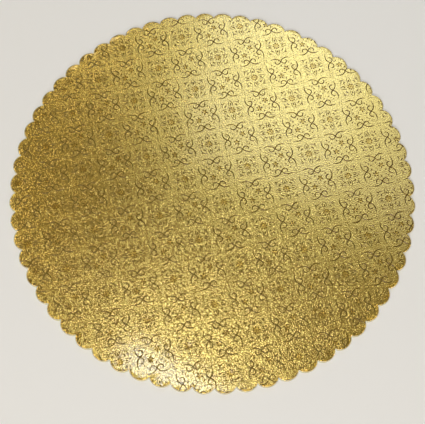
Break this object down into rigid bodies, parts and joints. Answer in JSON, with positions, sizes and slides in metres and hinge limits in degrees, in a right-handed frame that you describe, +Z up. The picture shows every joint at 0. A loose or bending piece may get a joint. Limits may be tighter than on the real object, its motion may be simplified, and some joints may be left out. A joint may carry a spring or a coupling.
{
  "type": "cake board",
  "caption": "Thin round card cake board with a scalloped edge and an embossed gold foil face that a cake stands on.",
  "frame": {"origin": "centre of the underside, where the board rests", "axes": "+Z up out of the foil face, +X through the tip of one scallop"},
  "size_m": [0.3556, 0.3552, 0.003],
  "materials": {
    "foil_card": "embossed gold foil on card"
  },
  "bodies": {
    "root": {"cake_board": "foil_card"}
  },
  "joints": []
}
